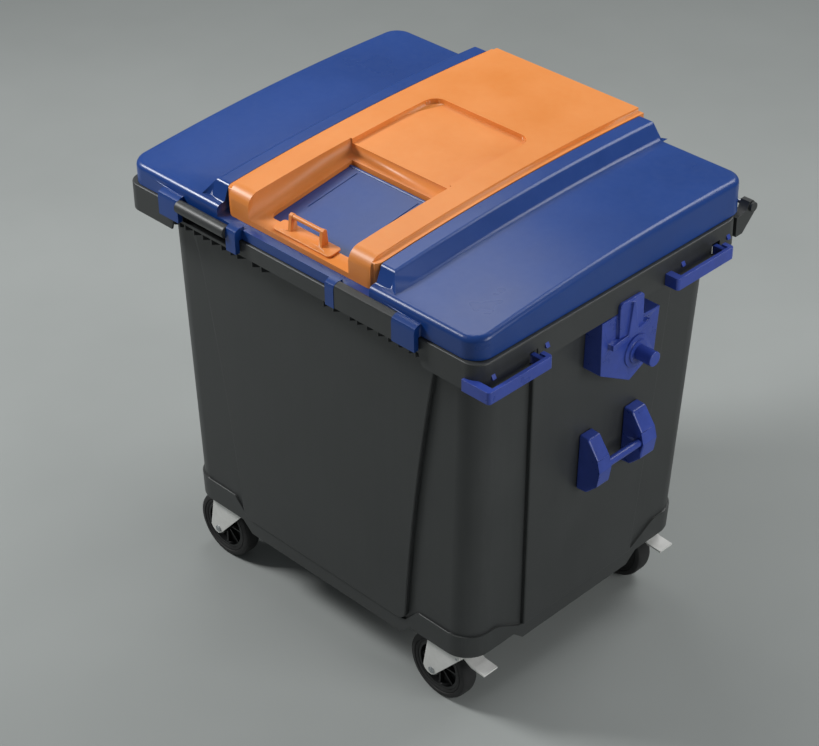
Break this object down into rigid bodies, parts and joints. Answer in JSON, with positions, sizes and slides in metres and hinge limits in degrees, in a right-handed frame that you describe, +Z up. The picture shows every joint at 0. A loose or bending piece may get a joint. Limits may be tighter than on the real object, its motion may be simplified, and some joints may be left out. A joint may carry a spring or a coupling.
{
  "type": "four-wheeled waste container",
  "caption": "Four-wheeled plastic waste container with raised wall panels, an arched hinged lid, an inner lid with a throw-in flap, side handles, lifting pins and braked swivel castors.",
  "frame": {"origin": "on the ground under the middle of the whole outline", "axes": "+X to the braked short side, +Y to the hinge side, +Z up"},
  "size_m": [1.376, 1.05, 1.3455],
  "materials": {
    "black_polyethylene": "fine moulded texture, near black",
    "blue_polyethylene": "satin moulded blue",
    "blue_polyamide": "satin moulded blue",
    "orange_polyethylene": "satin moulded orange",
    "white_coated_steel": "smooth white coating",
    "zinc_steel": "bright zinc",
    "wheel_plastic": "satin black",
    "tyre_rubber": "matt rubber",
    "rubber_seal": "matt rubber"
  },
  "bodies": {
    "tub": {"castor_bolts": "zinc_steel", "castor_kingpin_front_left": "zinc_steel", "castor_kingpin_front_right": "zinc_steel", "castor_kingpin_rear_left": "zinc_steel", "castor_kingpin_rear_right": "zinc_steel", "castor_plate_front_left": "white_coated_steel", "castor_plate_front_right": "white_coated_steel", "castor_plate_rear_left": "white_coated_steel", "castor_plate_rear_right": "white_coated_steel", "drain_plug": "black_polyethylene", "drain_seal": "rubber_seal", "hinge_brackets": "black_polyethylene", "hinge_caps": "black_polyethylene", "hinge_rod": "zinc_steel", "rim_handle_clips": "blue_polyamide", "rim_handle_front": "blue_polyamide", "rim_handle_rear": "blue_polyamide", "trunnion_pin_left": "blue_polyamide", "trunnion_pin_right": "blue_polyamide", "trunnion_plate_left": "blue_polyamide", "trunnion_plate_right": "blue_polyamide", "tub": "black_polyethylene", "wall_handle_bar_left": "blue_polyamide", "wall_handle_bar_right": "blue_polyamide", "wall_handle_brackets_left": "blue_polyamide", "wall_handle_brackets_right": "blue_polyamide"},
    "main_lid": {"main_lid": "blue_polyethylene", "grip_tube_left": "black_polyethylene", "grip_plate_right": "black_polyethylene", "inner_lid_pins": "zinc_steel"},
    "inner_lid": {"inner_lid": "orange_polyethylene", "flap_rod": "zinc_steel"},
    "flap": {"flap": "blue_polyethylene", "flap_handle_base": "orange_polyethylene", "flap_handle_bar": "orange_polyethylene"},
    "swivel_front_left": {"castor_fork_front_left": "white_coated_steel", "castor_axle_front_left": "zinc_steel"},
    "wheel_front_left": {"wheel_core_front_left": "wheel_plastic", "wheel_tyre_front_left": "tyre_rubber"},
    "swivel_front_right": {"castor_fork_front_right": "white_coated_steel", "castor_axle_front_right": "zinc_steel", "brake_pin_front_right": "zinc_steel"},
    "wheel_front_right": {"wheel_core_front_right": "wheel_plastic", "wheel_tyre_front_right": "tyre_rubber"},
    "pedal_front_right": {"brake_pedal_front_right": "white_coated_steel"},
    "swivel_rear_left": {"castor_fork_rear_left": "white_coated_steel", "castor_axle_rear_left": "zinc_steel"},
    "wheel_rear_left": {"wheel_core_rear_left": "wheel_plastic", "wheel_tyre_rear_left": "tyre_rubber"},
    "swivel_rear_right": {"castor_fork_rear_right": "white_coated_steel", "castor_axle_rear_right": "zinc_steel", "brake_pin_rear_right": "zinc_steel"},
    "wheel_rear_right": {"wheel_core_rear_right": "wheel_plastic", "wheel_tyre_rear_right": "tyre_rubber"},
    "pedal_rear_right": {"brake_pedal_rear_right": "white_coated_steel"}
  },
  "joints": [
    {"name": "lid_hinge", "type": "hinge", "parent": "tub", "child": "main_lid", "pos_m": [0, 0.51, 1.192], "axis": [-1, 0, 0], "range_deg": [0, 180]},
    {"name": "inner_lid_hinge", "type": "hinge", "parent": "main_lid", "child": "inner_lid", "pos_m": [0, 0.485, 1.311], "axis": [-1, 0, 0], "range_deg": [0, 70]},
    {"name": "flap_hinge", "type": "hinge", "parent": "inner_lid", "child": "flap", "pos_m": [0, -0.148, 1.27697], "axis": [-1, 0, 0], "range_deg": [0, 80]},
    {"name": "swivel_front_left", "type": "hinge", "parent": "tub", "child": "swivel_front_left", "pos_m": [-0.423, -0.374, 0.22], "axis": [0, 0, 1], "continuous": true},
    {"name": "wheel_spin_front_left", "type": "hinge", "parent": "swivel_front_left", "child": "wheel_front_left", "pos_m": [-0.455, -0.374, 0.099], "axis": [0, 1, 0], "continuous": true},
    {"name": "swivel_front_right", "type": "hinge", "parent": "tub", "child": "swivel_front_right", "pos_m": [0.423, -0.374, 0.22], "axis": [0, 0, 1], "continuous": true},
    {"name": "wheel_spin_front_right", "type": "hinge", "parent": "swivel_front_right", "child": "wheel_front_right", "pos_m": [0.391, -0.374, 0.099], "axis": [0, 1, 0], "continuous": true},
    {"name": "brake_pedal_front_right", "type": "hinge", "parent": "swivel_front_right", "child": "pedal_front_right", "pos_m": [0.48, -0.374, 0.188], "axis": [0, 1, 0], "range_deg": [0, 10]},
    {"name": "swivel_rear_left", "type": "hinge", "parent": "tub", "child": "swivel_rear_left", "pos_m": [-0.423, 0.322, 0.22], "axis": [0, 0, 1], "continuous": true},
    {"name": "wheel_spin_rear_left", "type": "hinge", "parent": "swivel_rear_left", "child": "wheel_rear_left", "pos_m": [-0.455, 0.322, 0.099], "axis": [0, 1, 0], "continuous": true},
    {"name": "swivel_rear_right", "type": "hinge", "parent": "tub", "child": "swivel_rear_right", "pos_m": [0.423, 0.322, 0.22], "axis": [0, 0, 1], "continuous": true},
    {"name": "wheel_spin_rear_right", "type": "hinge", "parent": "swivel_rear_right", "child": "wheel_rear_right", "pos_m": [0.391, 0.322, 0.099], "axis": [0, 1, 0], "continuous": true},
    {"name": "brake_pedal_rear_right", "type": "hinge", "parent": "swivel_rear_right", "child": "pedal_rear_right", "pos_m": [0.48, 0.322, 0.188], "axis": [0, 1, 0], "range_deg": [0, 10]}
  ]
}
